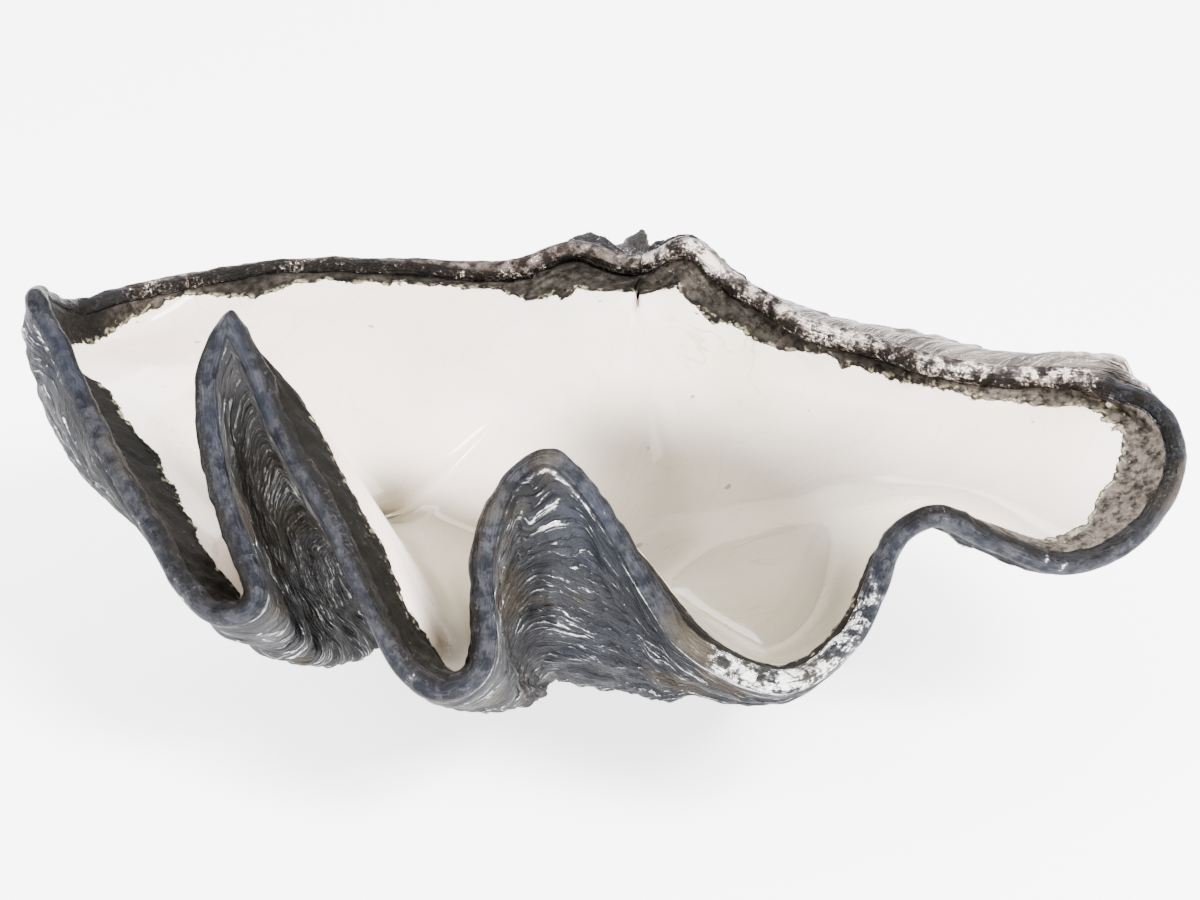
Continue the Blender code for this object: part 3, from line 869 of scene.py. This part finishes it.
def silver_parts(n):
    """Colour, roughness, metal share and height of the darkened silver."""
    crest, layer, along, lip = (n.value(k) for k in ("crest", "layer", "along", "lip"))
    fold_painted_light, warmth = n.value("fold_painted_light"), n.value("warm")
    off_lip = n.rest_of(n.times(lip, 0.8))
    wander = n.noise(1.0, 3.0, 0.55, n.vector(n.times(along, 0.05), n.times(layer, 0.10), 0.0))
    part = n.math("FRACT", n.plus(n.times(layer, 0.24), n.times(wander, 3.0)))
    edge = n.times(n.ramp(part, 0.0, 0.12), n.ramp(part, 0.60, 0.12))
    threads = n.noise(1.0, 4.0, 0.68, n.vector(n.times(along, 0.026), n.times(layer, 0.70), 3.0))
    grain, patch, wide = n.noise(*PLATE_GRAIN), n.noise(*PLATE_PATCH), n.noise(*PLATE_WIDE)
    speckle, tint = n.noise(*PLATE_SPECKLE), n.noise(*PLATE_TINT)

    # bright along the growth lines outside, and by burnish and speckle on the lip
    lines = n.plus(n.scaled(threads, 1.15, n.times(edge, 0.16)), n.scaled(crest, 0.16, 0.06))
    smooth = n.scaled(threads, 0.30, n.scaled(n.value("burnish"), 0.46, 0.02))
    smooth = n.scaled(speckle, 0.75, smooth)
    border = n.times(n.ramp(lip, 0.35, 0.62), n.ramp(lip, 0.97, 0.75))
    worn = n.mix_value(lip, lines, smooth)
    # the painted light in the outer folds also raises the bright share a little
    for what, share in ((border, 0.18), (patch, 0.55), (warmth, 0.20), (fold_painted_light, 0.06), (grain, 0.26)):
        worn = n.plus(worn, n.times(what, share))
    bright = n.ramp(worn, 1.28, 1.40)

    slate = n.mix(wide, *SLATE)
    # painted light: the dark silver painted lighter deep in the outer folds
    slate = n.mix(n.times(fold_painted_light, 0.75), slate, SLATE_PAINTED_LIGHT)
    slate = n.mix(n.times(lip, 0.8), slate, n.mix(n.ramp(speckle, 0.40, 0.62), *SLATE_LIP))
    slate = n.mix(n.ramp(tint, 0.54, 0.68, 0.0, 0.4), slate, SLATE_BLUE)
    slate = n.mix(n.ramp(tint, 0.46, 0.34, 0.0, 0.6), slate, SLATE_BROWN)
    sink = n.times(n.ramp(threads, 0.48, 0.38), off_lip)
    low = n.times(n.ramp(crest, 0.25, 0.02, 0.0, 0.35), n.rest_of(lip))
    dark = n.mix(n.math("MAXIMUM", n.times(sink, 0.75), low), slate, CREVICE)
    warm = n.times(warmth, n.ramp(n.scaled(wide, 0.7, patch), 0.70, 0.90, 0.55, 1.0))
    dark = n.mix(warm, dark, n.mix(n.ramp(speckle, 0.40, 0.60), *HINGE_BROWN))
    silver = n.mix(n.times(warmth, 0.8), n.mix(patch, *BRIGHT_SILVER), HINGE_SILVER)
    soot = n.times(n.value("soot"), n.ramp(n.scaled(patch, 0.5, grain), 0.88, 0.78))
    colour = n.mix(soot, n.mix(bright, dark, silver), n.mix(grain, *PLATE_SOOT))

    roughness = n.mix_value(bright, n.scaled(grain, 0.22, n.scaled(lip, -0.18, 0.30)), 0.20)
    metal = n.scaled(bright, 0.35, 0.60)
    height = n.times(n.scaled(edge, 0.7, n.times(threads, 2.2)), n.rest_of(n.times(lip, 0.75)))
    height = n.plus(height, n.times(grain, 0.35))
    height = n.plus(n.scaled(speckle, 0.9, height), n.times(patch, 0.8))
    return colour, roughness, metal, height


def plating():
    n = Nodes("darkened_silver")
    colour, roughness, metal, height = silver_parts(n)
    n.put(n.shader.inputs["Base Color"], colour)
    n.put(n.shader.inputs["Metallic"], metal)
    n.put(n.shader.inputs["Roughness"], roughness)
    n.shader.inputs["Specular IOR Level"].default_value = 0.25
    n.shader.inputs["Specular Tint"].default_value = (0.35, 0.35, 0.37, 1)
    n.put(n.shader.inputs["Normal"], n.bump(height, 1.0, 0.0016))
    return n.material


def porcelain():
    """The white inside, with the silver's ragged edge mixed in along the lip."""
    n = Nodes("porcelain_and_silver")
    grain, pits, cloud = n.noise(*GRAIN), n.noise(*PITS), n.noise(*CLOUD)
    ash = n.value("ash")
    tone = n.mix(
        n.ramp(n.plus(ash, n.scaled(cloud, 0.6, -0.30)), 0.25, 0.75),
        n.mix(pits, *SOOT),
        n.mix(n.ramp(n.noise(*ASH_SPOTS), 0.34, 0.66), *ASH),
    )
    spark = n.ramp(n.plus(grain, n.times(cloud, 0.5)), 0.93, 1.02)
    tone = n.mix(n.times(spark, n.scaled(ash, 0.6, 0.2)), tone, SPARK)

    # the silver's ragged edge, with a beaded line along it
    ragged = n.plus(n.scaled(n.noise(*EDGE_FINE), 13.0, -6.5), n.scaled(n.noise(*EDGE_WIDE), 13.0, -6.5))
    reach = n.plus(n.value("band"), ragged)
    silver = n.ramp(reach, -0.35, 0.35)
    bead = n.times(n.ramp(reach, -0.4, 1.0), n.ramp(reach, 3.6, 1.2))
    lump = n.noise(*LUMP)
    gilt = n.times(bead, n.ramp(n.plus(lump, n.times(ash, 0.12)), 0.52, 0.68))
    tone = n.mix(n.times(bead, 0.6), tone, BEAD)
    tone = n.mix(n.times(gilt, 0.7), tone, GILT)

    haze, cast = n.noise(*HAZE, twist=0.4), n.noise(*CAST)
    white = n.mix(n.ramp(haze, 0.35, 0.65), *WHITE)
    white = n.mix(n.ramp(cast, 0.50, 0.64, 0.0, 0.45), white, WHITE_GREEN)
    white = n.mix(n.ramp(cast, 0.48, 0.36, 0.0, 0.40), white, WHITE_PINK)
    from_vein = n.math("ABSOLUTE", n.math("SUBTRACT", n.noise(*VEINS, twist=1.4), 0.5))
    thread = n.times(n.ramp(from_vein, 0.0, 0.012, 1.0, 0.0), n.ramp(haze, 0.50, 0.64, 0.0, 0.45))
    white = n.mix(thread, white, VEIN)
    where = n.vector(n.times(n.value("along"), 0.006), n.times(n.value("layer"), 0.16), 0.0)
    growth_lines = n.noise(1.0, 2.0, 0.5, where)
    white = n.mix(n.ramp(growth_lines, 0.52, 0.70, 0.0, 0.14), white, GROWTH_LINE)
    white = n.mix(n.ramp(n.noise(*SPECKS), 0.77, 0.80, 0.0, 0.7), white, SPECK)
    # painted shade: the deep bowl and the channel beside it darkened by multiplying, with a beige cast
    white = n.mix(n.times(n.value("bowl"), 0.90), white, BOWL_PAINTED_SHADE, "MULTIPLY")
    white = n.mix(n.times(n.value("channel"), 0.92), white, CHANNEL_PAINTED_SHADE, "MULTIPLY")

    n.put(n.shader.inputs["Base Color"], n.mix(silver, white, tone))
    n.put(n.shader.inputs["Metallic"], n.times(silver, 0.4))
    gloss, matt = n.scaled(n.noise(*GLOSS), 0.14, 0.22), n.scaled(pits, 0.30, 0.42)
    n.put(n.shader.inputs["Roughness"], n.mix_value(silver, gloss, matt))
    n.shader.inputs["Specular IOR Level"].default_value = 0.12
    n.shader.inputs["Specular Tint"].default_value = (0.4, 0.4, 0.4, 1)
    n.put(n.shader.inputs["Coat Weight"], n.scaled(silver, -0.6, 0.6))
    n.shader.inputs["Coat Roughness"].default_value = 0.08
    relief = n.plus(n.times(pits, 1.6), n.times(grain, 0.35))
    raised = n.times(silver, n.plus(relief, 0.6))
    raised = n.plus(raised, n.times(bead, n.scaled(lump, 1.4, 0.3)))
    raised = n.plus(raised, n.times(growth_lines, 0.05))
    n.put(n.shader.inputs["Normal"], n.bump(raised, 0.85, 0.0013))
    return n.material


def rest_turn():
    turn = Matrix.Rotation(math.radians(REST_ROLL), 4, "Y")
    return turn @ Matrix.Rotation(math.radians(REST_PITCH), 4, "X")


def by_place(table, mark, along):
    """The table's values, stated at named points, at every place along the lip."""
    return np.interp(along, [mark[name] for name in table], list(table.values()))


def lumps(table, along, across):
    """Small seeded heights in mm."""
    return sum(tall * field(along / long, across / wide, seed) for tall, long, wide, seed in table)


def dress_outside(outer, times, grown, along, mark):
    """The outside with its lamellae, and the values its material reads."""
    columns, soft = lip_columns(FINE_COLUMNS)
    rib = smoothstep(-(columns[:, 2] - soft[:, 2]), -30.0, 50.0)
    height, crest, layer = lamellae(grown, along, rib, mark["tooth_2_back_side"])
    edge_calm = smoothstep(along, 0.0, 40.0) * smoothstep(along[-1] - along, 0.0, 40.0)
    late = 1.0 - smoothstep(times, GROWTH_END - 0.9, GROWTH_END)
    height = height * (0.25 + 0.75 * edge_calm[None, :]) * late[:, None]
    middle, half, more = SCUTES
    scutes = np.exp(-(((along[-1] - along - middle) / half) ** 2))[None, :]
    height = height * (1.0 + more * scutes * smoothstep(grown, 8.0, 40.0)[:, None])
    outer = outer - inward(outer, 2) * height[..., None]
    outer[-1] = outer[-1, 0]
    return outer, crest, layer


def silver_band(inner, ring, wide):
    """How far in mm every place of the inside lies within the silver, by the nearest place of the rim."""
    tree = KDTree(len(ring))
    for k, ij in enumerate(ring):
        tree.insert(inner[ij], k)
    tree.balance()
    band = np.empty(inner.shape[0] * inner.shape[1])
    for k, place in enumerate(inner.reshape(-1, 3)):
        _, at, away = tree.find(place)
        band[k] = wide[at] - away
    return band.reshape(inner.shape[:2])


def dress_inside(inner, ring, along, mark):
    """The inside with its wedges and lumps, how far each place is from the lip, and the silver band."""
    in_step = np.linalg.norm(np.diff(inner, axis=0), axis=2)
    in_grown = np.vstack([np.zeros(inner.shape[1]), np.cumsum(in_step, axis=0)])
    wedge = by_place(LEAN, mark, along)[None, :] * in_grown * np.exp(-((in_grown / LEAN_REACH) ** 2))
    inner = inner + inward(inner, 8) * wedge[..., None]
    hinge_x, hinge_mm = zip(*SILVER_HINGE)
    hinge_wide = np.interp([inner[ij][0] for ij in ring], hinge_x, hinge_mm)
    silver = by_place(SILVER, mark, along)
    wide = np.array([silver[j] if i == 0 else hinge_wide[k] for k, (i, j) in enumerate(ring)])
    band = silver_band(inner, ring, ring_mean(wide, 6))
    pole = np.exp(-((np.linalg.norm(inner - inner[-1, 0], axis=2) / POLE_REACH) ** 2))[1:-1, 1:-1, None]
    for _ in range(POLE_PASSES):
        mean = (inner[:-2, 1:-1] + inner[2:, 1:-1] + inner[1:-1, :-2] + inner[1:-1, 2:]) / 4
        inner[1:-1, 1:-1] += pole * (mean - inner[1:-1, 1:-1])
    raised = lumps(INNER_LUMPS, along[None, :], in_grown) * smoothstep(band, -2.0, 6.0)
    inner = inner + inward(inner, 2) * raised[..., None]
    inner[-1] = inner[-1, 0]
    return inner, in_grown, band


def roll_lip(first, last, down):
    """Rows of the rounded lip from the outside's edge to the inside's, and the way round the ring."""
    run = runs(first)
    middle = (first + last) / 2
    half = (last - first) / 2
    rows = []
    for k in range(1, LIP_ROWS + 1):
        angle = math.pi * k / (LIP_ROWS + 1)
        row = middle - half * math.cos(angle) - down * LIP_RADIUS * math.sin(angle)
        out = unit(-half * math.cos(angle) - down * LIP_RADIUS * math.sin(angle))
        rows.append(row + out * (lumps(LIP_LUMPS, run, k) * math.sin(angle))[:, None])
    return np.array(rows), run


def build_shell():
    times, along, grown, outer, inner, ring, down = fine_shape()
    mark = lip_marks(runs(spline(list(LIP_LINE.values()), SPAN)))
    burnish = by_place(BURNISH, mark, along)
    outer, crest, layer = dress_outside(outer, times, grown, along, mark)
    inner, in_grown, band = dress_inside(inner, ring, along, mark)
    shine = ring_mean(np.array([burnish[j] if i == 0 else 0.1 + 0.25 * (j > 0) for i, j in ring]), 6)
    lips, ring_run = roll_lip(
        np.array([outer[ij] for ij in ring]), np.array([inner[ij] for ij in ring]), down,
    )

    rows, cols = outer.shape[:2]
    count, ring_count = rows * cols, LIP_ROWS * len(ring)
    points = np.concatenate([sheet.reshape(-1, 3) for sheet in (outer, inner, lips)])
    out_index = np.arange(count).reshape(rows, cols)
    out_index[-1] = out_index[-1, 0]
    in_index = out_index + count
    strip = np.vstack([
        [out_index[ij] for ij in ring],
        2 * count + np.arange(ring_count).reshape(LIP_ROWS, len(ring)),
        [in_index[ij] for ij in ring],
    ])
    strip = np.hstack([strip, strip[:, :1]])
    blocks = {
        "plated_outside_young": sheet_quads(out_index[:NEAR_ROWS + 1], True),
        "plated_outside_old": sheet_quads(out_index[NEAR_ROWS:], True),
        "inside_rim": sheet_quads(in_index[:NEAR_ROWS + 1], False),
        "inside_bowl": sheet_quads(in_index[NEAR_ROWS:], False),
        "plated_lip": sheet_quads(strip, True),
    }
    points = points @ np.array(rest_turn().to_3x3()).T + np.array(PLACE)
    points[:, 2] = np.maximum(points[:, 2], 0.0)
    normals = smooth_normals(points, np.concatenate(list(blocks.values())))

    # values for the outside, the inside and the lip, in that order; then those by place in the frame
    none = np.zeros(count)
    lip_row = np.repeat(np.arange(LIP_ROWS), len(ring))
    across = (lip_row + 1) / (LIP_ROWS + 1.0)
    dull = np.tile(1.0 - smoothstep(shine, 0.3, 0.6), LIP_ROWS)
    near_hinge_end = np.exp(-(((along[-1] - along) / 90.0) ** 2))
    on_hinge = ring_mean(np.array([0.0 if i == 0 else 1.0 for i, _ in ring]), 12)
    parts = {
        "layer": (layer.ravel(), in_grown.ravel(), -2.0 * lip_row),
        "along": (np.tile(along, rows), np.tile(along, rows), np.tile(ring_run, LIP_ROWS)),
        "crest": (crest.ravel(), np.full(count, 0.3), np.full(ring_count, 0.5)),
        "band": (np.full(count, ALL_SILVER), band.ravel(), np.full(ring_count, ALL_SILVER)),
        "burnish": (np.tile(burnish, rows), none, np.tile(shine, LIP_ROWS)),
        # painted light deep in the outer folds, on the outside only
        "fold_painted_light": (np.tile(by_place(FOLD_PAINTED_LIGHT, mark, along), rows), none, np.zeros(ring_count)),
        "soot": (none, none, smoothstep(across, 0.42, 0.60) * dull),
        "lip": (np.exp(-np.repeat(grown, cols) / 5.0), none, np.ones(ring_count)),
        "warm": (np.tile(near_hinge_end, rows), none, np.tile(on_hinge, LIP_ROWS)),
    }
    values = {label: np.concatenate(three) for label, three in parts.items()}
    x, y, z = points.T
    values["ash"] = np.clip(0.95 * smoothstep(x, 150.0, 250.0) + 0.42 * smoothstep(y, 20.0, 60.0), 0.0, 1.0)
    # where the painted shade lies: low in the bowl and in the channel beside it
    values["bowl"] = smoothstep(150.0 - z, 0.0, 42.0) * smoothstep(x, -70.0, 10.0)
    values["channel"] = (
        smoothstep(125.0 - z, 0.0, 25.0) * smoothstep(x, -160.0, -115.0)
        * (1.0 - smoothstep(x, -50.0, -10.0)) * (1.0 - smoothstep(y, 0.0, 50.0))
    )
    silver_material, white_material = plating(), porcelain()
    for name, faces in blocks.items():
        material = white_material if name.startswith("inside") else silver_material
        make_piece(name, points, normals, values, faces, material)


def make_floor():
    mesh = bpy.data.meshes.new("floor")
    h = FLOOR_HALF
    mesh.from_pydata([(-h, -h, 0), (h, -h, 0), (h, h, 0), (-h, h, 0)], [], [(0, 1, 2, 3)])
    floor = bpy.data.objects.new("floor", mesh)
    floor.location.z = -FLOOR_DROP
    bpy.context.scene.collection.objects.link(floor)
    n = Nodes("floor")
    n.shader.inputs["Base Color"].default_value = (FLOOR_GREY, FLOOR_GREY, FLOOR_GREY, 1)
    n.shader.inputs["Roughness"].default_value = FLOOR_ROUGHNESS
    n.shader.inputs["Emission Color"].default_value = (1.0, 1.0, 1.0, 1)
    n.shader.inputs["Emission Strength"].default_value = FLOOR_GLOW
    mesh.materials.append(n.material)


def add_light(name, place, size, power):
    light = bpy.data.lights.new(name, "AREA")
    light.shape = "RECTANGLE"
    light.size, light.size_y = size
    light.energy = power
    obj = bpy.data.objects.new(name, light)
    obj.location = place
    obj.rotation_euler = (Vector(LIGHT_AIM) - Vector(place)).to_track_quat("-Z", "Y").to_euler()
    bpy.context.scene.collection.objects.link(obj)


def make_camera():
    a, e = math.radians(VIEW_AZIMUTH), math.radians(VIEW_ELEVATION)
    back = Vector((math.sin(a) * math.cos(e), -math.cos(a) * math.cos(e), math.sin(e)))
    right = Vector((math.cos(a), math.sin(a), 0.0))
    up = back.cross(right)
    turn = rest_turn().to_3x3()
    place = turn @ (Vector(VIEW_TARGET) + back * VIEW_DISTANCE) + Vector(PLACE)
    axes = Matrix((turn @ right, turn @ up, turn @ back)).transposed()
    data = bpy.data.cameras.new("camera")
    data.sensor_width = SENSOR
    data.lens = SENSOR * VIEW_DISTANCE / VIEW_WIDTH
    data.clip_start, data.clip_end = 0.05, 60.0
    camera = bpy.data.objects.new("camera", data)
    camera.matrix_world = Matrix.Translation(place * MM) @ axes.to_4x4()
    bpy.context.scene.collection.objects.link(camera)
    bpy.context.scene.camera = camera


def make_world():
    """White studio: bright overhead, dimmer towards the horizon."""
    world = bpy.data.worlds.new("studio")
    world.use_nodes = True
    tree = world.node_tree
    back = tree.nodes["Background"]
    where = tree.nodes.new("ShaderNodeTexCoord")
    split = tree.nodes.new("ShaderNodeSeparateXYZ")
    shade = tree.nodes.new("ShaderNodeMapRange")
    shade.inputs["From Min"].default_value, shade.inputs["From Max"].default_value = SKY_HEIGHTS
    shade.inputs["To Min"].default_value, shade.inputs["To Max"].default_value = SKY_STRENGTHS
    tree.links.new(where.outputs["Generated"], split.inputs[0])
    tree.links.new(split.outputs["Z"], shade.inputs["Value"])
    tree.links.new(shade.outputs["Result"], back.inputs["Strength"])
    back.inputs["Color"].default_value = (1, 1, 1, 1)
    bpy.context.scene.world = world


build_shell()
make_floor()
make_camera()
for light_row in LIGHTS:
    add_light(*light_row)
make_world()
